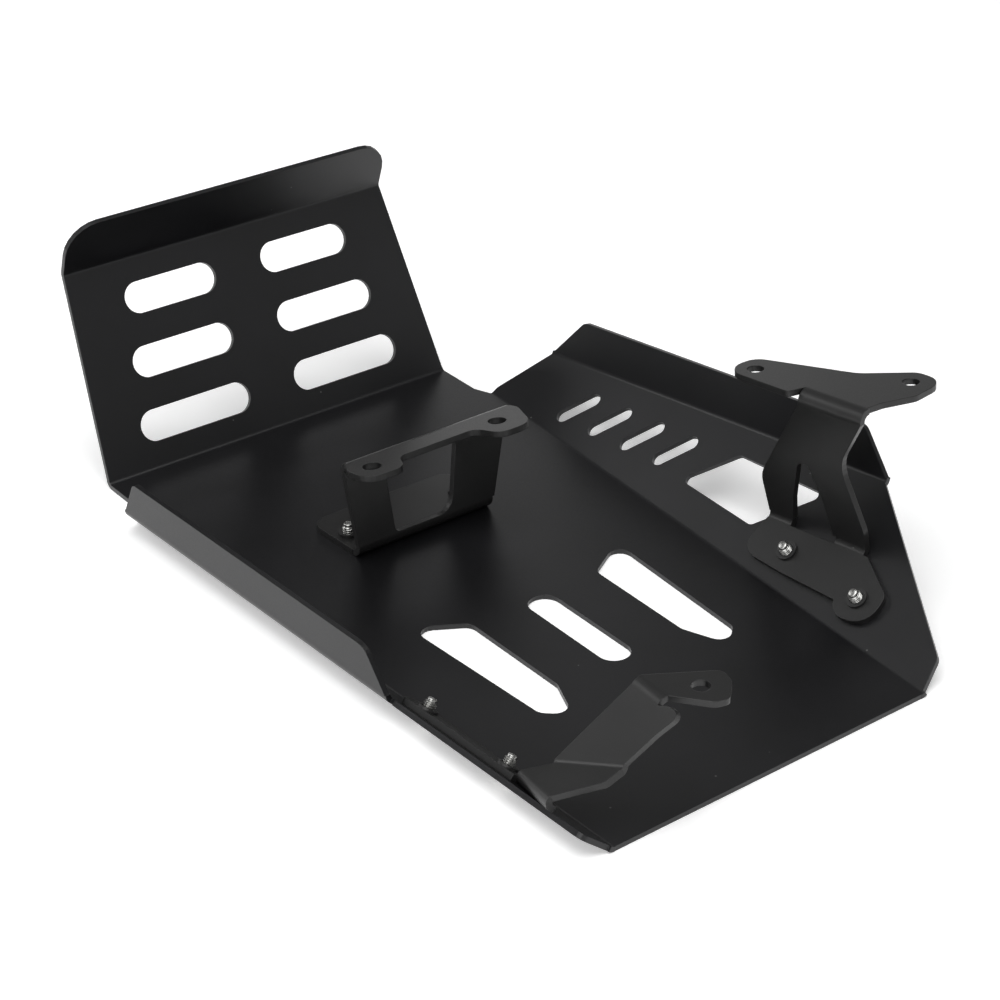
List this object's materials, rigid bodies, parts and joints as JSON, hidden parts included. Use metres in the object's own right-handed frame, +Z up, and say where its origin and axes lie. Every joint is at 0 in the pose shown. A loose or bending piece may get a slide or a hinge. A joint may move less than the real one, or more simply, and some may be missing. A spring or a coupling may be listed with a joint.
{
  "type": "motorcycle skid plate",
  "caption": "Folded sheet-metal engine guard tray with a slotted front panel, a vented side wall and screwed-on mounting brackets.",
  "frame": {"origin": "on the floor's underside, straight below the middle of the central floor slot", "axes": "+X forward towards the front panel, +Y to the left, +Z up"},
  "size_m": [0.4303, 0.278, 0.1252],
  "materials": {
    "plate": "satin black powder coat",
    "bracket": "satin black powder coat",
    "screw": "bright stainless",
    "collar": "black zinc"
  },
  "bodies": {
    "root": {"main_plate": "plate", "centre_bracket": "bracket", "right_wall_bracket": "bracket", "left_rear_bracket": "bracket", "centre_screws": "screw", "right_wall_screws": "screw", "left_rear_screws": "screw", "centre_collars": "collar", "right_wall_collars": "collar", "left_rear_collars": "collar"}
  },
  "joints": []
}
